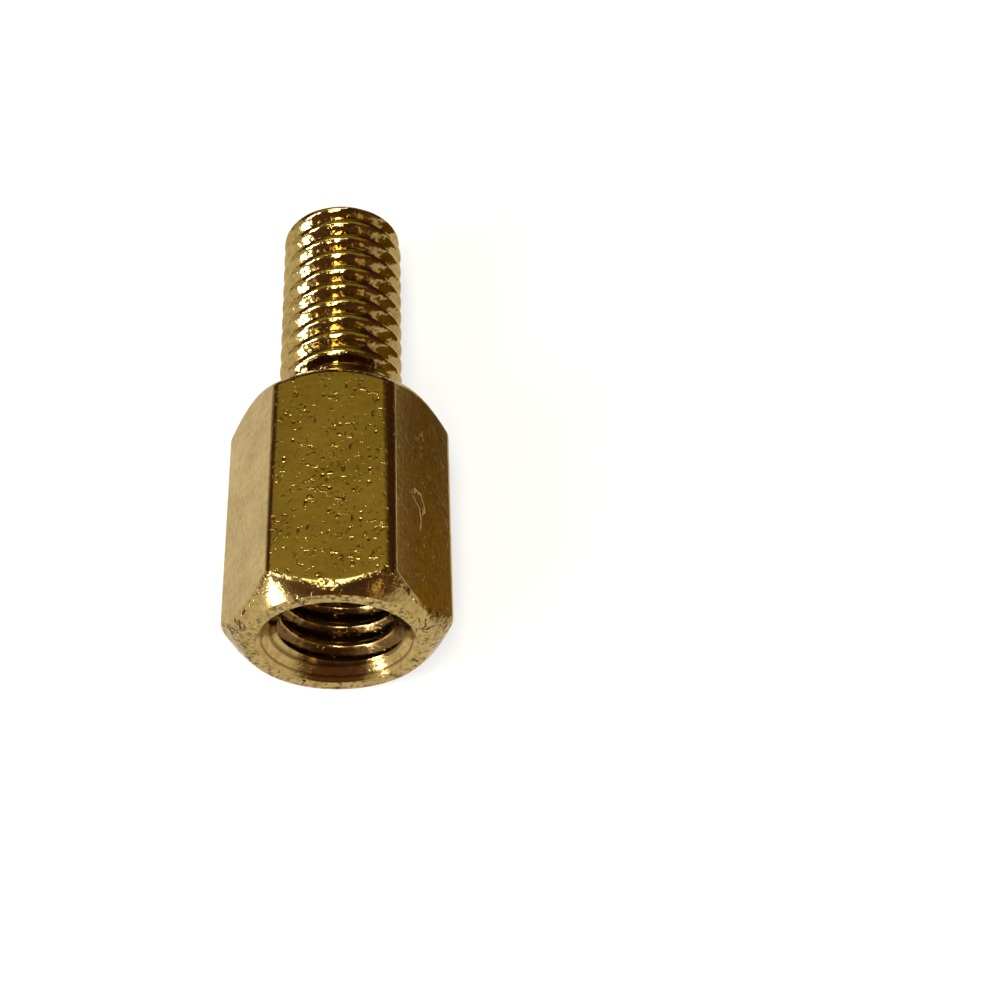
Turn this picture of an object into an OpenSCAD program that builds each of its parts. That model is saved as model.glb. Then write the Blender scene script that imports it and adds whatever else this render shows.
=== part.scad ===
// Male-female hex standoff, turned in one piece from drawn brass hexagon bar.
// Lengths are millimetres. It lies on one flat of the hexagon with +Z up: the threaded hole opens
// toward -Y and the threaded stud points along +Y.

/* [Hexagon body] */
// Across flats of the hexagon bar
hex_af = 4.5; // [4.3:0.1:6.5]
// How far the bar's rounded corners stop short of sharp ones, along the radius
corner_break = 0.07; // [0.03:0.01:0.15]
// Length of the body from its mouth face to its shoulder face
body_len = 6; // [4:0.5:20]
// Width of the end chamfers at the middle of a flat, along the radius
chamfer_width = 0.22; // [0.1:0.02:0.3]
// Angle of the end chamfers to the end faces
chamfer_angle = 45; // [30:5:50]

/* [Thread] */
// Nominal diameter of the screw thread
thread_d = 3; // [2.8:0.1:3.1]
// Pitch of the screw thread
thread_pitch = 0.5; // [0.35:0.05:0.5]
// How much smaller than nominal the stud is over its thread
stud_allowance = 0.1; // [0:0.02:0.2]

/* [Stud] */
// Length of the stud from the shoulder face to its end
stud_len = 6; // [3:0.5:12]
// Length of the plain neck next to the shoulder
neck_len = 0.45; // [0.2:0.05:0.8]
// Depth of the neck below the stud, also the length of its ramp up to the thread
neck_depth = 0.3; // [0.1:0.05:0.35]
// Width and length of the chamfer at the stud's end
point_chamfer = 0.5; // [0.2:0.05:0.6]

/* [Threaded hole] */
// Diameter of the countersink at the mouth face
countersink_d = 3.5; // [3.2:0.1:3.6]
// Included angle of the countersink
countersink_angle = 90; // [60:5:120]
// Metal left between the tip of the drill point and the shoulder face
hole_floor = 0.8; // [0.5:0.1:1.5]
// Included angle of the drill point at the bottom of the hole
drill_point_angle = 118; // [90:2:140]

/* [Hidden] */
$fn = 96;
overall_len = body_len + stud_len;
sharp_r = hex_af / 2 / cos(30);
corner_r = sharp_r - corner_break;
face_r = hex_af / 2 - chamfer_width;
chamfer_len = (corner_r - face_r) * tan(chamfer_angle);
stud_r = (thread_d - stud_allowance) / 2;
neck_r = stud_r - neck_depth;
point_r = stud_r - point_chamfer;
// The stud's core is one metal with the body, so it starts inside the hole's floor
core_start = body_len - hole_floor / 2;
thread_start = body_len + neck_len + neck_depth;
// The hole is drilled at the thread's tapping size
bore_r = (thread_d - thread_pitch) / 2;
countersink_r = countersink_d / 2;
countersink_slope = tan(countersink_angle / 2);
countersink_len = (countersink_r - bore_r) / countersink_slope;
drill_depth = body_len - hole_floor;
bore_end = drill_depth - bore_r / tan(drill_point_angle / 2);
// The cutting profiles run this far past the mouth face
overrun = 0.1;

// Hexagon bar with its rounded corners, turned to a chamfer at both ends
module hex_body() {
    intersection() {
        cylinder(r = sharp_r, h = body_len, $fn = 6);
        rotate_extrude()
            polygon([
                [0, 0],
                [face_r, 0],
                [corner_r, chamfer_len],
                [corner_r, body_len - chamfer_len],
                [face_r, body_len],
                [0, body_len]
            ]);
    }
}

// Stud at the diameter over its thread, with the plain neck and the chamfered end
module stud() {
    rotate_extrude()
        polygon([
            [0, core_start],
            [neck_r, core_start],
            [neck_r, body_len + neck_len],
            [stud_r, thread_start],
            [stud_r, overall_len - point_chamfer],
            [point_r, overall_len],
            [0, overall_len]
        ]);
}

// Countersunk blind hole at the tapping size, with its drill point
module hole() {
    rotate_extrude()
        polygon([
            [0, -overrun],
            [countersink_r + overrun * countersink_slope, -overrun],
            [bore_r, countersink_len],
            [bore_r, bore_end],
            [0, drill_depth]
        ]);
}

module hex_standoff() {
    color([0.71, 0.57, 0.26])
    translate([0, -overall_len / 2, hex_af / 2])
    rotate([-90, 0, 0])
    difference() {
        union() {
            hex_body();
            stud();
        }
        hole();
    }
}

hex_standoff();
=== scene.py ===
from math import cos, pi, radians, sin, tan

import bmesh
import bpy
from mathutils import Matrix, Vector


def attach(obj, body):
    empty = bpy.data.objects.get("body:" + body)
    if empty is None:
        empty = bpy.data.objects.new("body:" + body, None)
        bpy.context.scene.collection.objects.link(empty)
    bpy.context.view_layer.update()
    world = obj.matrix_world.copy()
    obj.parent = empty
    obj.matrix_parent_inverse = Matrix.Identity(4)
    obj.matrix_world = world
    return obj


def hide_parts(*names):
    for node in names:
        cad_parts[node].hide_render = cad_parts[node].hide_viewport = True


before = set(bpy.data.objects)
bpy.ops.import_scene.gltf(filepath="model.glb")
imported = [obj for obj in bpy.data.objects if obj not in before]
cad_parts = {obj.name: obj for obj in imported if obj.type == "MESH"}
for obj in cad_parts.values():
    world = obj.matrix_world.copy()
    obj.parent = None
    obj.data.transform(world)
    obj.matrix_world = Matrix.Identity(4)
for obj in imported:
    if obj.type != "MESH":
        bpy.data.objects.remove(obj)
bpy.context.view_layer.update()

# The body: a length of drawn brass hexagon bar, its corners rounded by the drawing die. The lathe cuts
# it off and turns a 45 degree chamfer on both ends, which leaves an arc at the end of each flat.
# It is modelled in millimetres, lying on one flat, and comes down to metres once it is finished.
hex_af = 4.5
body_len = 6.0
axis_z = hex_af / 2
sharp_r = hex_af / 2 / cos(radians(30))
chamfer_width = 0.22
face_r = hex_af / 2 - chamfer_width
# A corner is a narrow land with rounded sides, and the one at the upper left came out crisper
corner_land = 0.141
corner_round = 0.07
crisp_land = 0.07
crisp_round = 0.03
round_segments = 3
bar_spare = 1.0
turning_spare = 0.1
turned_r = sharp_r + turning_spare
round_sides = 144
along_y = (radians(90), 0, 0)


def place(**settings):
    """Puts a cylinder down at its place and returns it with that place in its mesh."""
    bpy.ops.object.select_all(action="DESELECT")
    bpy.ops.mesh.primitive_cylinder_add(**settings)
    bpy.ops.object.transform_apply(location=True, rotation=True, scale=True)
    return bpy.context.active_object


def edit(piece, chosen, mode="FACE"):
    """Opens a piece in edit mode with the faces or edges selected that chosen says."""
    bpy.ops.object.select_all(action="DESELECT")
    bpy.context.view_layer.objects.active = piece
    piece.select_set(True)
    bpy.ops.object.mode_set(mode="EDIT")
    bpy.ops.mesh.select_mode(type=mode)
    bpy.ops.mesh.select_all(action="DESELECT")
    bm = bmesh.from_edit_mesh(piece.data)
    for part in bm.faces if mode == "FACE" else bm.edges:
        part.select = chosen(part)
    bm.select_flush_mode()
    bmesh.update_edit_mesh(piece.data)


def machine(work, tool, operation):
    """Takes a tool's shape off the work, joins it on or keeps what both share, and clears the tool away."""
    bpy.ops.object.select_all(action="DESELECT")
    bpy.context.view_layer.objects.active = work
    bpy.ops.object.modifier_add(type="BOOLEAN")
    step = work.modifiers[-1]
    step.operation = operation
    step.object = tool
    step.solver = "EXACT"
    bpy.ops.object.modifier_apply(modifier=step.name)
    bpy.data.objects.remove(tool)


def run_along(edge):
    """How far an edge runs along the bar."""
    return abs(edge.verts[0].co.y - edge.verts[1].co.y)


def at_upper_left(edge):
    """Whether an edge lies at the bar's upper left corner."""
    return edge.verts[0].co.x < 0 and edge.verts[0].co.z > axis_z + face_r


standoff = place(vertices=6, radius=sharp_r, depth=body_len + bar_spare, location=(0, -body_len / 2, axis_z),
                 rotation=(radians(90), radians(30), 0))
standoff.name = "hex_standoff_brass"
for width, segments, crisp in ((crisp_land, 1, True), (corner_land, 1, False),
                               (crisp_round, round_segments, True), (corner_round, round_segments, False)):
    edit(standoff, lambda edge: run_along(edge) > body_len and at_upper_left(edge) == crisp, "EDGE")
    bpy.ops.mesh.bevel(offset=width, offset_type="OFFSET", segments=segments, affect="EDGES")
    bpy.ops.object.mode_set(mode="OBJECT")
turned_ends = place(vertices=round_sides, radius=turned_r, depth=body_len,
                    location=(0, -body_len / 2, axis_z), rotation=along_y)
edit(turned_ends, lambda edge: run_along(edge) < body_len / 2, "EDGE")
bpy.ops.mesh.bevel(offset=turned_r - face_r, offset_type="OFFSET", segments=1, affect="EDGES")
bpy.ops.object.mode_set(mode="OBJECT")
machine(standoff, turned_ends, "INTERSECT")

# The stud: turned down from the same bar. A plain neck next to the shoulder lets the threading die run
# out, a short ramp leads up to the thread, and a 45 degree chamfer makes the point. Its core starts inside
# the body, so that the two join.
stud_r = 1.45
stud_len = 6.0
neck_depth = 0.3
neck_r = stud_r - neck_depth
neck_len = 0.45
ramp_len = neck_depth
point = 0.5
core_len = 0.4


def turn(piece, turned_to, steps):
    """Draws a cylinder's +Y end out further, by one length and end radius after another."""
    edit(piece, lambda face: face.normal.y > 0.9)
    for step_len, radius in steps:
        bpy.ops.mesh.extrude_region_move(TRANSFORM_OT_translate={"value": (0, step_len, 0)})
        grow = radius / turned_to
        bpy.ops.transform.resize(value=(grow, 1, grow), center_override=(0, 0, axis_z))
        turned_to = radius
    bpy.ops.object.mode_set(mode="OBJECT")


stud = place(vertices=round_sides, radius=neck_r, depth=core_len + neck_len,
             location=(0, (neck_len - core_len) / 2, axis_z), rotation=along_y)
turn(stud, neck_r, ((ramp_len, stud_r), (stud_len - neck_len - ramp_len - point, stud_r),
                    (point, stud_r - point)))
machine(standoff, stud, "UNION")

# The hole: drilled at the tapping size from the mouth face, so it ends in the drill's 118 degree point,
# and countersunk at 90 degrees so that a screw starts easily. The drill's shape starts in front of the mouth.
bore_r = 1.25
countersink_r = 1.75
hole_floor = 0.8
drill_depth = body_len - hole_floor
drill_angle = 118
drill_point = bore_r / tan(radians(drill_angle / 2))
drill_tip_r = 0.002
mouth_gap = 0.1

drill = place(vertices=round_sides, radius=countersink_r + mouth_gap, depth=mouth_gap,
              location=(0, -body_len - mouth_gap * 1.5, axis_z), rotation=along_y)
turn(drill, countersink_r + mouth_gap, ((mouth_gap + countersink_r - bore_r, bore_r),
                                        (drill_depth - drill_point - countersink_r + bore_r, bore_r),
                                        (drill_point, drill_tip_r)))
machine(standoff, drill, "DIFFERENCE")

# Tumbling in the barrel after turning rounds every edge, most of all the arcs where the flats meet the
# end chamfers. The turned edges keep more of their sharpness.
tumbled_round = 0.085
turned_share = 0.35
least_edge = radians(20)
# Only the body reaches out past this radius
body_r = 2.0

edit(standoff, lambda edge: True, "EDGE")
bpy.ops.mesh.remove_doubles(threshold=0.002)
shape = bmesh.from_edit_mesh(standoff.data)
layers = shape.edges.layers.float
weight = layers.get("bevel_weight_edge") or layers.new("bevel_weight_edge")
for edge in shape.edges:
    if len(edge.link_faces) == 2 and edge.calc_face_angle() > least_edge:
        # A face's lean is 0 where it runs along the bar, 0.7 on a 45 degree cone and 1 on an end face
        leans = sorted(abs(face.normal.y) for face in edge.link_faces)
        flat_to_cone = leans[0] < 0.1 and 0.6 < leans[1] < 0.8
        middle = (edge.verts[0].co + edge.verts[1].co) / 2
        out_r = Vector((middle.x, middle.z - axis_z)).length
        edge[weight] = 1.0 if flat_to_cone and middle.y < 0 and out_r > body_r else turned_share
bmesh.update_edit_mesh(standoff.data)
bpy.ops.object.mode_set(mode="OBJECT")
bpy.ops.object.modifier_add(type="BEVEL")
tumbled = standoff.modifiers[-1]
tumbled.width = tumbled_round
tumbled.segments = round_segments
tumbled.limit_method = "WEIGHT"
tumbled.use_clamp_overlap = False
tumbled.loop_slide = False
bpy.ops.object.modifier_apply(modifier=tumbled.name)

# The threads: both are right-handed, with a pitch of half a millimetre. A die cuts the stud's groove out of
# the blank from the point to the neck, and a tap cuts the hole's, short of the drill point.
pitch = 0.5
steps_per_turn = 96


def helix(name, groove, start_y, turns):
    """A groove's cross-section, as radius and offset along the axis, swept up a helix into a closed tool."""
    bpy.ops.object.select_all(action="DESELECT")
    bpy.ops.mesh.primitive_circle_add(vertices=len(groove), radius=1, location=(0, start_y, axis_z))
    tool = bpy.context.active_object
    tool.name = name
    for corner, (radius, offset) in zip(tool.data.vertices, groove):
        corner.co = (radius, offset, 0)
    bpy.ops.object.modifier_add(type="SCREW")
    sweep = tool.modifiers[-1]
    sweep.axis = "Y"
    sweep.angle = 2 * pi
    sweep.screw_offset = pitch
    sweep.iterations = turns
    sweep.steps = steps_per_turn
    sweep.render_steps = steps_per_turn
    bpy.ops.object.modifier_apply(modifier=sweep.name)
    bpy.ops.object.transform_apply(location=True, rotation=True, scale=True)
    edit(tool, lambda edge: edge.is_boundary, "EDGE")
    bpy.ops.mesh.fill_holes(sides=0)
    bpy.ops.mesh.select_all(action="SELECT")
    bpy.ops.mesh.normals_make_consistent(inside=False)
    bpy.ops.object.mode_set(mode="OBJECT")
    return tool


# The die's tooth is straight on the side toward the body, and bows out to the crest on the other
die_start = 0.4
die_turns = 12
root_r = 1.238
crest_r = 1.4495
clear_r = 1.50
root_half = 0.015
crest_half = 0.235
clear_half = 0.249
flank_steps = 8
flank_bow = 1.2
straight_flank = [(clear_r, -clear_half), (crest_r, -crest_half), (root_r, -root_half)]
bowed_flank = [(root_r + (crest_r - root_r) * sin(pi / 2 * step / flank_steps) ** flank_bow,
                root_half + (crest_half - root_half) * step / flank_steps) for step in range(flank_steps + 1)]
die = helix("die", straight_flank + bowed_flank + [(clear_r, clear_half)], die_start, die_turns)
machine(standoff, die, "DIFFERENCE")

# The tap's tooth, as radius and half width: clear of the bore, three points that round the crest, the root
tap_start = -6.66
tap_turns = 9
tap_side = [(1.20, 0.236), (1.25, 0.210), (1.255, 0.200), (1.266, 0.185), (1.50, 0.031)]
tap_tooth = [(radius, -half) for radius, half in tap_side] + tap_side[::-1]
tap = helix("tap", tap_tooth, tap_start, tap_turns)
machine(standoff, tap, "DIFFERENCE")

# Finished to size: millimetres become metres, doubles are merged and the shading follows the edges.
mm_per_m = 1000.0

bpy.ops.object.select_all(action="DESELECT")
bpy.context.view_layer.objects.active = standoff
standoff.select_set(True)
bpy.ops.object.mode_set(mode="EDIT")
bpy.ops.mesh.select_all(action="SELECT")
bpy.ops.mesh.remove_doubles(threshold=0.0005)
bpy.ops.mesh.normals_make_consistent(inside=False)
bpy.ops.object.mode_set(mode="OBJECT")
standoff.scale = (1 / mm_per_m, 1 / mm_per_m, 1 / mm_per_m)
bpy.ops.object.transform_apply(location=True, rotation=True, scale=True)
bpy.ops.object.shade_smooth_by_angle(angle=radians(32))
bpy.ops.object.modifier_add(type="WEIGHTED_NORMAL")
standoff.modifiers[-1].keep_sharp = True
bpy.ops.object.modifier_apply(modifier=standoff.modifiers[-1].name)

# The finish: bare brass with no plating, as the drawing die, the lathe tools, the threading tools and the
# tumbling barrel left it, with some tarnish since. Each has its own marks, so each gives a finish of its own.
# Patterns are in millimetres from the axis. The finest marks are drawn coarser than real ones, so as to show.


def linear(code):
    """A colour written as sRGB hex, in the linear values that shaders take."""
    parts = [int(code[i:i + 2], 16) / 255 for i in (1, 3, 5)]
    return [c / 12.92 if c <= 0.04045 else ((c + 0.055) / 1.055) ** 2.4 for c in parts] + [1.0]


def add(tree, kind, inputs, **settings):
    """Adds one node with its settings, fills or links its sockets, and returns its first output."""
    made = tree.nodes.new(kind)
    for name, value in settings.items():
        setattr(made, name, value)
    for name, value in inputs.items():
        if isinstance(value, bpy.types.NodeSocket):
            tree.links.new(value, made.inputs[name])
        else:
            made.inputs[name].default_value = value
    return next(out for out in made.outputs if out.enabled)


def drawn_lines(tree, spot):
    """The die's fine lines along the bar, 0.04 mm apart, with one curled scratch on the right-hand flat."""
    lines_per_mm = 24
    breaks_per_mm = 0.4
    along = add(tree, "ShaderNodeMapping", {"Vector": spot,
                                            "Scale": (lines_per_mm, breaks_per_mm, lines_per_mm)})
    marks = add(tree, "ShaderNodeTexNoise", {"Vector": along, "Scale": 1.0, "Detail": 2.0})
    # The scratch is two arcs with an unsteady line: each one's centre and radius, and the side that is cut
    hook = ((1.809, -3.28, 1.367), 0.29, (0.354, 0.707, -0.612), -0.1, 0.1)
    tail = ((1.639, -3.68, 1.661), 0.48, (0.45, 0.4, -0.779), 0.3, 0.4)
    unsteady = 0.25
    half_width = 0.045
    times_deeper = 14.0
    uneven = add(tree, "ShaderNodeTexNoise", {"Vector": spot, "Scale": 6.0, "Detail": 1.0})
    for middle, arc_r, toward, fades_from, full_from in (hook, tail):
        from_it = add(tree, "ShaderNodeVectorMath", {0: spot, 1: middle}, operation="SUBTRACT")
        radius = add(tree, "ShaderNodeVectorMath", {0: from_it}, operation="LENGTH").node.outputs["Value"]
        off = add(tree, "ShaderNodeMath", {0: uneven, 1: unsteady, 2: radius}, operation="MULTIPLY_ADD")
        off = add(tree, "ShaderNodeMath", {0: off, 1: arc_r + unsteady / 2}, operation="SUBTRACT")
        off = add(tree, "ShaderNodeMath", {0: off}, operation="ABSOLUTE")
        arc = add(tree, "ShaderNodeMapRange", {"Value": off, "From Min": half_width, "From Max": 0.0,
                                               "To Max": times_deeper}, interpolation_type="SMOOTHSTEP")
        part = add(tree, "ShaderNodeVectorMath", {0: from_it, 1: toward}, operation="DOT_PRODUCT")
        part = add(tree, "ShaderNodeMapRange", {"Value": part.node.outputs["Value"], "From Min": fades_from,
                                                "From Max": full_from})
        marks = add(tree, "ShaderNodeMath", {0: arc, 1: part, 2: marks}, operation="MULTIPLY_ADD")
    return marks, None


def from_axis(tree, spot):
    """A point's distance out from the axis, and its place along it."""
    part = add(tree, "ShaderNodeSeparateXYZ", {0: spot}).node.outputs
    flat = add(tree, "ShaderNodeCombineXYZ", {"X": part["X"], "Z": part["Z"]})
    radius = add(tree, "ShaderNodeVectorMath", {0: flat}, operation="LENGTH").node.outputs["Value"]
    return radius, part["Y"]


def turned_rings(tree, spot, per_mm=20.0):
    """The lathe tool's rings round the axis, 0.05 mm apart, on end faces, cones and cylinders alike."""
    along_share = 0.4
    radius, along = from_axis(tree, spot)
    reach = add(tree, "ShaderNodeMath", {0: along, 1: along_share, 2: radius}, operation="MULTIPLY_ADD")
    rings = add(tree, "ShaderNodeTexNoise", {"W": reach, "Scale": per_mm, "Detail": 2.0},
                noise_dimensions="1D")
    return rings, None


def chatter_rings(tree, spot):
    """The countersink's coarser rings, 0.07 mm apart, where its tool chattered, and the film in them."""
    rings, _ = turned_rings(tree, spot, per_mm=15.0)
    film_and_root_shade = add(tree, "ShaderNodeMapRange", {"Value": rings, "From Min": 0.50, "From Max": 0.60,
                                            "To Max": 0.7})
    return rings, film_and_root_shade


def torn_flanks(tree, spot, root=1.22, crest=1.40, root_shade_share=0.2):
    """The die's tear marks along the thread, about 0.2 mm long, and painted shade that darkens the thread
    toward its root.
    """
    radius, _ = from_axis(tree, spot)
    tears = add(tree, "ShaderNodeTexNoise", {"Vector": spot, "Scale": 4.5, "Detail": 1.0})
    # Painted shade: the colour darkens from the crest radius down to the root radius
    film_and_root_shade = add(tree, "ShaderNodeMapRange", {"Value": radius, "From Min": crest, "From Max": root,
                                            "To Max": root_shade_share})
    return tears, film_and_root_shade


def tapped_flanks(tree, spot):
    """The tap's tear marks, with painted shade at the outside, where the hole's thread has its root."""
    return torn_flanks(tree, spot, root=1.30, crest=1.255, root_shade_share=0.8)


def bare_brass(name, marks, mark_depth, knock_share, knock_depth, grime, roughness):
    """Bare brass after tumbling: tarnish, knocks and short scrapes over the marks that its making left."""
    brass = bpy.data.materials.new(name)
    brass.use_nodes = True
    tree = brass.node_tree
    shader = tree.nodes["Principled BSDF"]
    shader.inputs["Metallic"].default_value = 1.0
    shader.inputs["Specular Tint"].default_value = linear("#F9F1E0")
    place_m = tree.nodes.new("ShaderNodeTexCoord").outputs["Object"]
    spot = add(tree, "ShaderNodeMapping", {"Vector": place_m, "Scale": (mm_per_m, mm_per_m, mm_per_m),
                                           "Location": (0, 0, -axis_z)})
    lines, stain_and_root_shade = marks(tree, spot)
    # Tarnish lies in clouds about 1 mm across, and the tumbled surface wavers every 0.15 mm
    cloud = add(tree, "ShaderNodeTexNoise", {"Vector": spot, "Scale": 1.1, "Detail": 6.0, "Roughness": 0.6})
    waver = add(tree, "ShaderNodeTexNoise", {"Vector": spot, "Scale": 7.0, "Detail": 3.0}).node.outputs
    waver_depth = 0.006
    # Worn patches, about 0.25 mm across, stand a little proud or lie a little low
    worn_depth = 0.55
    worn_from = 0.17 - 0.18 * knock_share
    worn_to = 0.27 - 0.18 * knock_share
    worn = add(tree, "ShaderNodeTexNoise", {"Vector": spot, "Scale": 3.8, "Detail": 2.0, "Distortion": 1.5})
    raised, sunk = (add(tree, "ShaderNodeMapRange", {"Value": worn, "From Min": 0.5 + sign * worn_from,
                                                     "From Max": 0.5 + sign * worn_to},
                        interpolation_type="SMOOTHSTEP") for sign in (1, -1))
    hurt = add(tree, "ShaderNodeMath", {0: raised, 1: sunk}, operation="SUBTRACT")
    hurt = add(tree, "ShaderNodeMath", {0: hurt, 1: worn_depth}, operation="MULTIPLY")
    # Scrapes, about 0.4 mm long, and knocks, about 0.15 mm across, leave a pit or a raised burr, and are
    # densest where the clouds are. Their outlines are bent, so that no two are alike
    scrapes = ((8.0, 2.4, 8.0), radians(35))
    knocks = ((6.0, 6.0, 6.0), 0.0)
    bend = 0.10
    shift = add(tree, "ShaderNodeVectorMath", {0: waver["Color"], 1: (-0.5, -0.5, -0.5)}, operation="ADD")
    bent = add(tree, "ShaderNodeVectorMath", {0: shift, 1: (bend, bend, bend), 2: spot},
               operation="MULTIPLY_ADD")
    spared = add(tree, "ShaderNodeMapRange", {"Value": cloud, "From Min": 0.35, "From Max": 0.65,
                                              "To Min": 1.0 - 0.4 * knock_share,
                                              "To Max": 1.0 - 1.6 * knock_share})
    for per_mm, slant in (scrapes, knocks):
        cell = add(tree, "ShaderNodeMapping", {"Vector": bent, "Scale": per_mm, "Rotation": (0, 0, slant)})
        cell = add(tree, "ShaderNodeTexVoronoi", {"Vector": cell, "Scale": 1.0}).node.outputs
        chance = add(tree, "ShaderNodeSeparateColor", {0: cell["Color"]}).node.outputs
        over = add(tree, "ShaderNodeMath", {0: chance[0], 1: spared}, operation="SUBTRACT")
        reach = add(tree, "ShaderNodeMapRange", {"Value": over, "From Min": 0.0, "From Max": 0.08,
                                                 "To Max": 0.36})
        knock = add(tree, "ShaderNodeMapRange", {"Value": cell["Distance"], "From Min": reach,
                                                 "From Max": 0.0}, interpolation_type="SMOOTHSTEP")
        burr = add(tree, "ShaderNodeMapRange", {"Value": chance[1], "From Min": 0.45, "From Max": 0.65,
                                                "To Min": -1.0, "To Max": 0.9})
        hurt = add(tree, "ShaderNodeMath", {0: knock, 1: burr, 2: hurt}, operation="MULTIPLY_ADD")
    # The colour: clean to tarnished brass, then specks of grime, dirt in the pits and the marks' own
    # darkening, which on the threads is painted shade toward the root
    tarnish = add(tree, "ShaderNodeMapRange", {"Value": cloud, "From Min": 0.35, "From Max": 0.7})
    tone = add(tree, "ShaderNodeMix", {0: tarnish, 6: linear("#B1985E"), 7: linear("#9A804A")},
               data_type="RGBA")
    speck = add(tree, "ShaderNodeTexNoise", {"Vector": spot, "Scale": 8.0, "Detail": 3.0})
    speck = add(tree, "ShaderNodeMapRange", {"Value": speck, "From Min": 0.50, "From Max": 0.62,
                                             "To Max": 0.05 + 0.7 * grime})
    tone = add(tree, "ShaderNodeMix", {0: speck, 6: tone, 7: linear("#54401A")}, data_type="RGBA")
    dirt = add(tree, "ShaderNodeMapRange", {"Value": hurt, "From Min": -0.15, "From Max": -0.6,
                                            "To Max": grime})
    tone = add(tree, "ShaderNodeMix", {0: dirt, 6: tone, 7: linear("#33200A")}, data_type="RGBA")
    # On the threads this darkening is painted shade in the groove's root; in the countersink it is the darker
    # chatter rings
    if stain_and_root_shade:
        tone = add(tree, "ShaderNodeMix", {0: stain_and_root_shade, 6: tone, 7: linear("#4A2A12")}, data_type="RGBA")
    tree.links.new(tone, shader.inputs["Base Color"])
    # Tarnish also dulls the shine
    dull = add(tree, "ShaderNodeMapRange", {"Value": cloud, "From Min": 0.3, "From Max": 0.7,
                                            "To Min": roughness - 0.03, "To Max": roughness + 0.04})
    tree.links.new(dull, shader.inputs["Roughness"])
    # The relief, with all depths in millimetres
    height = add(tree, "ShaderNodeMath", {0: lines, 1: mark_depth}, operation="MULTIPLY")
    height = add(tree, "ShaderNodeMath", {0: hurt, 1: knock_depth, 2: height}, operation="MULTIPLY_ADD")
    height = add(tree, "ShaderNodeMath", {0: waver["Fac"], 1: waver_depth, 2: height},
                 operation="MULTIPLY_ADD")
    relief = add(tree, "ShaderNodeBump", {"Height": height, "Distance": 1 / mm_per_m, "Strength": 1.0})
    tree.links.new(relief, shader.inputs["Normal"])
    return brass


# The bar's flats: a soft satin with fine lines along the bar, clouded by tarnish
drawn = bare_brass("drawn_brass", drawn_lines, mark_depth=0.0015, knock_share=0.04, knock_depth=0.005,
                   grime=0.3, roughness=0.20)
# The top flat: the same satin, strewn with small knocks and scrapes that glint on one side
scuffed = bare_brass("scuffed_brass", drawn_lines, mark_depth=0.0020, knock_share=0.28, knock_depth=0.017,
                     grime=0.06, roughness=0.20)
# The mouth's ring and the lower chamfers: pitted all over, with dirt in the pits, so they look mottled
knocked = bare_brass("knocked_brass", turned_rings, mark_depth=0.0010, knock_share=0.6, knock_depth=0.02,
                     grime=1.0, roughness=0.18)
# The upper chamfers, the rounded edges, the neck and the point: smooth from the tool, with clear highlights
turned = bare_brass("turned_brass", turned_rings, mark_depth=0.0020, knock_share=0.08, knock_depth=0.006,
                    grime=0.3, roughness=0.13)
# The stud's thread: bright, with tears that break its highlights into patches, and a little painted shade
# toward the root
die_cut = bare_brass("die_cut_brass", torn_flanks, mark_depth=0.016, knock_share=0.05, knock_depth=0.003,
                     grime=0.3, roughness=0.10)
# The hole's thread: flanks darkened by painted shade toward the root, and crests that catch the light
tapped = bare_brass("tapped_brass", tapped_flanks, mark_depth=0.014, knock_share=0.15, knock_depth=0.010,
                    grime=0.4, roughness=0.17)
# The countersink: shiny, with darker rings
countersunk = bare_brass("countersunk_brass", chatter_rings, mark_depth=0.004, knock_share=0.06,
                         knock_depth=0.002, grime=0.3, roughness=0.12)
finishes = [drawn, scuffed, knocked, turned, die_cut, tapped, countersunk]
standoff.data.materials.clear()
for finish in finishes:
    standoff.data.materials.append(finish)

# Where each finish lies, in millimetres along the axis and out from it
mouth_y = -5.99
countersink_end_y = -5.0
hole_thread_y = (-5.9, -1.6)
shoulder_y = 0.01
stud_thread_y = (0.6, 5.98)
ring_r = 1.76
hole_thread_r = 1.52
stud_thread_r = 1.46
# How far a face leans along the axis, as for the tumbled edges, and how far it faces up
flat_lean = 0.35
edge_lean = 0.66
cone_lean = (0.6, 0.78)
top_up = 0.9
upper_up = 0.3
for face in standoff.data.polygons:
    x, y, z = face.center * mm_per_m
    out_r = (x * x + (z - axis_z) ** 2) ** 0.5
    lean = abs(face.normal.y)
    up = face.normal.z
    if y < 0 and out_r > body_r and lean < flat_lean:
        finish = scuffed if up > top_up else drawn
    elif y < mouth_y or (y < shoulder_y and out_r > ring_r and (up < upper_up or lean < edge_lean)):
        finish = knocked
    elif y < countersink_end_y and out_r < ring_r and cone_lean[0] < lean < cone_lean[1]:
        finish = countersunk
    elif stud_thread_y[0] < y < stud_thread_y[1] and out_r < stud_thread_r:
        finish = die_cut
    elif hole_thread_y[0] < y < hole_thread_y[1] and out_r < hole_thread_r:
        finish = tapped
    else:
        finish = turned
    face.material_index = finishes.index(finish)
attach(standoff, "root")
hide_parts("hex_standoff")

# The table: a plain sheet of white paper. The camera and the metal both see it close to white, and it still
# takes the part's shadow. Some way behind the part, the metal sees the brown bench past the sheet's edge.
sheet_size = 2.0
plain_white = 0.7
sheet_ends = (0.02, 0.045)

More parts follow.
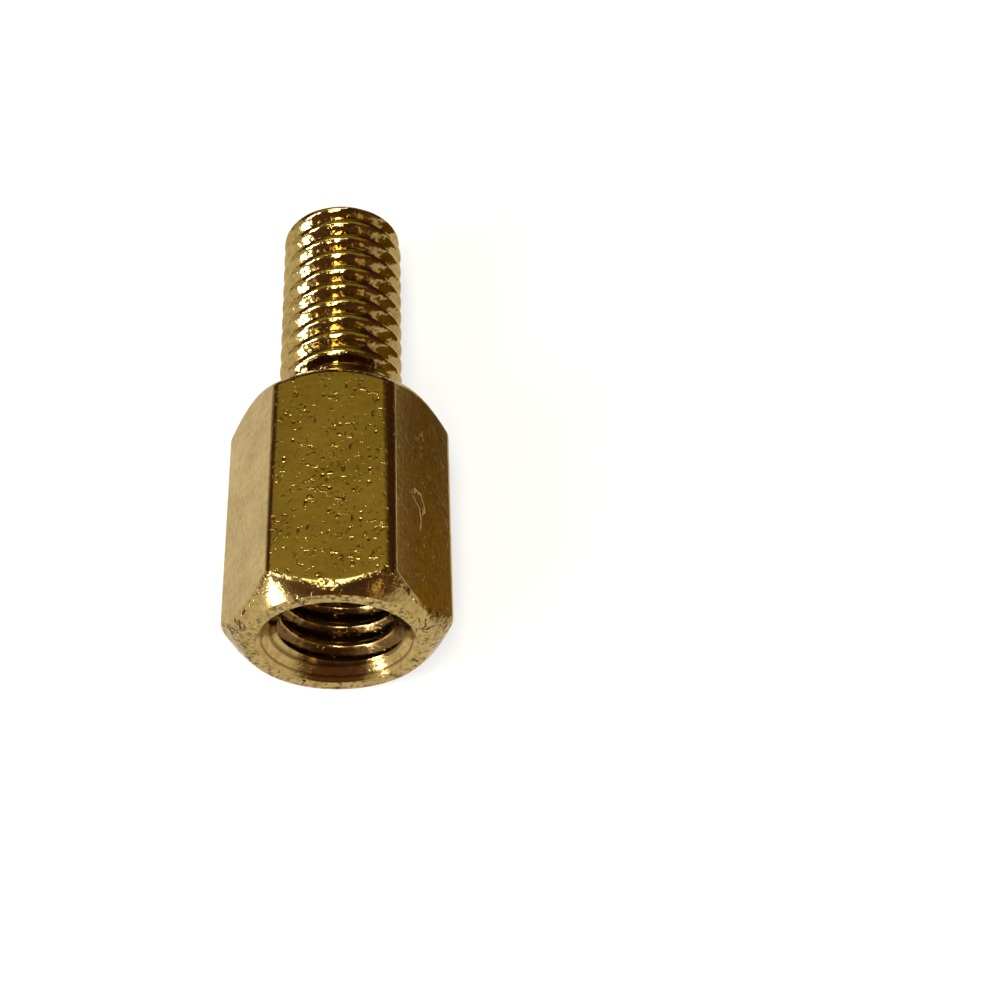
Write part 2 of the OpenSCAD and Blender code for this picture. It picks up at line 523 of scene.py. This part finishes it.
bpy.ops.object.select_all(action="DESELECT")
bpy.ops.mesh.primitive_plane_add(size=sheet_size, location=(0, 0, 0))
paper_sheet = bpy.context.active_object
paper_sheet.name = "paper_sheet"
paper = bpy.data.materials.new("white_paper")
paper.use_nodes = True
tree = paper.node_tree
tree.nodes.clear()
ray = tree.nodes.new("ShaderNodeLightPath").outputs
seen = add(tree, "ShaderNodeMath", {0: ray["Is Camera Ray"], 1: ray["Is Glossy Ray"]}, operation="MAXIMUM")
seen = add(tree, "ShaderNodeMath", {0: seen, 1: ray["Is Transmission Ray"]}, operation="MAXIMUM")
share = add(tree, "ShaderNodeMath", {0: seen, 1: plain_white}, operation="MULTIPLY")
lit = add(tree, "ShaderNodeBsdfDiffuse", {"Color": linear("#F4F4F4")})
glow = add(tree, "ShaderNodeEmission", {"Color": linear("#FFFFFF"), "Strength": 1.0})
mixed = add(tree, "ShaderNodeMixShader", {0: share, 1: lit, 2: glow})
here = tree.nodes.new("ShaderNodeTexCoord").outputs["Object"]
away = add(tree, "ShaderNodeVectorMath", {0: here}, operation="LENGTH").node.outputs["Value"]
past = add(tree, "ShaderNodeMapRange", {"Value": away, "From Min": sheet_ends[0], "From Max": sheet_ends[1]},
           interpolation_type="SMOOTHSTEP")
past = add(tree, "ShaderNodeMath", {0: past, 1: ray["Is Glossy Ray"]}, operation="MULTIPLY")
behind = add(tree, "ShaderNodeSeparateXYZ", {0: here}).node.outputs["Y"]
behind = add(tree, "ShaderNodeMapRange", {"Value": behind, "From Min": -0.02, "From Max": 0.02},
             interpolation_type="SMOOTHSTEP")
past = add(tree, "ShaderNodeMath", {0: past, 1: behind}, operation="MULTIPLY")
bench = add(tree, "ShaderNodeEmission", {"Color": linear("#6F553F"), "Strength": 1.0})
mixed = add(tree, "ShaderNodeMixShader", {0: past, 1: mixed, 2: bench})
tree.links.new(mixed, tree.nodes.new("ShaderNodeOutputMaterial").inputs["Surface"])
paper_sheet.data.materials.append(paper)

# The room: brown walls, darker at the back, over a pale horizon that is higher on the left, under a warm
# ceiling, with a dark place where the viewer stands. Only the metal sees it: the camera sees white, and the
# paper gets a plain grey fill.
left_rise = 0.30
back_drop = 0.16
viewer_way = (0.07, -0.53, 0.845)

world = bpy.data.worlds.new("dim_room")
bpy.context.scene.world = world
world.use_nodes = True
tree = world.node_tree
tree.nodes.clear()
ray = tree.nodes.new("ShaderNodeLightPath").outputs
way = tree.nodes.new("ShaderNodeTexCoord").outputs["Generated"]
side = add(tree, "ShaderNodeSeparateXYZ", {0: way}).node.outputs
back = add(tree, "ShaderNodeMapRange", {"Value": side["Y"], "From Min": -0.6, "From Max": 0.5})
wall = add(tree, "ShaderNodeMix", {0: back, 6: linear("#6F4D38"), 7: linear("#4D2E27")}, data_type="RGBA")
left = add(tree, "ShaderNodeMath", {0: side["X"], 1: 0.0}, operation="MINIMUM")
level = add(tree, "ShaderNodeMath", {0: left, 1: left_rise, 2: side["Z"]}, operation="MULTIPLY_ADD")
level = add(tree, "ShaderNodeMath", {0: back, 1: back_drop, 2: level}, operation="MULTIPLY_ADD")
above = add(tree, "ShaderNodeMapRange", {"Value": level, "From Min": 0.05, "From Max": 0.15},
            interpolation_type="SMOOTHSTEP")
room = add(tree, "ShaderNodeMix", {0: above, 6: linear("#E7DFCB"), 7: wall}, data_type="RGBA")
roof = add(tree, "ShaderNodeMapRange", {"Value": side["Z"], "From Min": 0.55, "From Max": 0.80},
           interpolation_type="SMOOTHSTEP")
room = add(tree, "ShaderNodeMix", {0: roof, 6: room, 7: linear("#B8AC61")}, data_type="RGBA")
front = add(tree, "ShaderNodeVectorMath", {0: way, 1: viewer_way}, operation="DOT_PRODUCT")
viewer = add(tree, "ShaderNodeMapRange", {"Value": front.node.outputs["Value"], "From Min": 0.78,
                                          "From Max": 0.94}, interpolation_type="SMOOTHSTEP")
room = add(tree, "ShaderNodeMix", {0: viewer, 6: room, 7: linear("#4B3830")}, data_type="RGBA")
mirror = add(tree, "ShaderNodeMath", {0: ray["Is Glossy Ray"], 1: ray["Is Transmission Ray"]},
             operation="MAXIMUM")
fill = add(tree, "ShaderNodeMix", {0: mirror, 6: linear("#7C7C7C"), 7: room}, data_type="RGBA")
backdrop = add(tree, "ShaderNodeMix", {0: ray["Is Camera Ray"], 6: fill, 7: linear("#FFFFFF")},
               data_type="RGBA")
glow = add(tree, "ShaderNodeBackground", {"Color": backdrop, "Strength": 1.0})
tree.links.new(glow, tree.nodes.new("ShaderNodeOutputWorld").inputs["Surface"])

# The lights: a cool window on the left and the lower pane at its foot, a warm lamp over the viewer with a
# strip of lit ceiling behind it, and a faint lampshade on the right. All stand equally far from the part.
light_away = 0.25
cool = "#ECF2FF"
warm = "#FFF6DC"
amber = "#FFE9A0"

for name, way, wide, tall, watts, colour in (
        ("window", (-0.665, -0.465, 0.585), 0.050, 0.09, 0.36, cool),
        ("window_foot", (-0.700, -0.690, 0.150), 0.045, 0.055, 0.27, cool),
        ("lamp", (-0.045, -0.480, 0.875), 0.042, 0.17, 0.64, warm),
        ("ceiling_strip", (-0.040, -0.230, 0.970), 0.14, 0.03, 0.12, warm),
        ("shade", (0.50, -0.80, 0.33), 0.035, 0.05, 0.005, amber)):
    stand = Vector(way).normalized() * light_away
    bpy.ops.object.light_add(type="AREA", location=stand)
    light = bpy.context.active_object
    light.name = name
    light.rotation_euler = (-stand).to_track_quat("-Z", "Y").to_euler()
    light.data.shape = "RECTANGLE"
    light.data.size = wide
    light.data.size_y = tall
    light.data.energy = watts
    light.data.color = linear(colour)[:3]
    light.visible_camera = False

# A glowing card stands on edge beside the part: a painted reflection of the part's shade on the paper, which
# darkens its right-hand flat in place of the paper's white. It is lighter toward the mouth end. Only the
# metal sees it, and it casts no shadow.
card_place = (0.0055, -0.0014, 0.00135)
card_tall = 0.0027
card_long = 0.0112

bpy.ops.object.select_all(action="DESELECT")
bpy.ops.mesh.primitive_plane_add(size=1.0, location=card_place, rotation=(0, radians(90), 0))
card = bpy.context.active_object
card.name = "painted_shade_card"
card.scale = (card_tall, card_long, 1)
card.visible_camera = False
card.visible_diffuse = False
card.visible_shadow = False
card.visible_transmission = False
card.visible_volume_scatter = False
dark = bpy.data.materials.new("painted_shade_card")
dark.use_nodes = True
tree = dark.node_tree
tree.nodes.clear()
here = tree.nodes.new("ShaderNodeTexCoord").outputs["Object"]
along = add(tree, "ShaderNodeSeparateXYZ", {0: here}).node.outputs["Y"]
along = add(tree, "ShaderNodeMapRange", {"Value": along, "From Min": -0.5, "From Max": 0.3})
# The card's amber-brown glow is the painted shade that the right-hand flat reflects
shades = add(tree, "ShaderNodeMix", {0: along, 6: linear("#A27E16"), 7: linear("#735919")}, data_type="RGBA")
glow = add(tree, "ShaderNodeEmission", {"Color": shades, "Strength": 1.0})
tree.links.new(glow, tree.nodes.new("ShaderNodeOutputMaterial").inputs["Surface"])
card.data.materials.append(dark)

# The camera: it looks down at the mouth end, close to the part, as the photograph does.
camera_place = (0.002788, -0.025425, 0.036050)
camera_turn = (radians(34.331), radians(0.009), radians(-2.171))

bpy.ops.object.camera_add(location=camera_place, rotation=camera_turn)
camera = bpy.context.active_object
camera.data.lens = 64.75
camera.data.sensor_width = 36
camera.data.clip_start = 0.001
camera.data.clip_end = 10
bpy.context.scene.camera = camera
bpy.context.scene.view_settings.view_transform = "Standard"
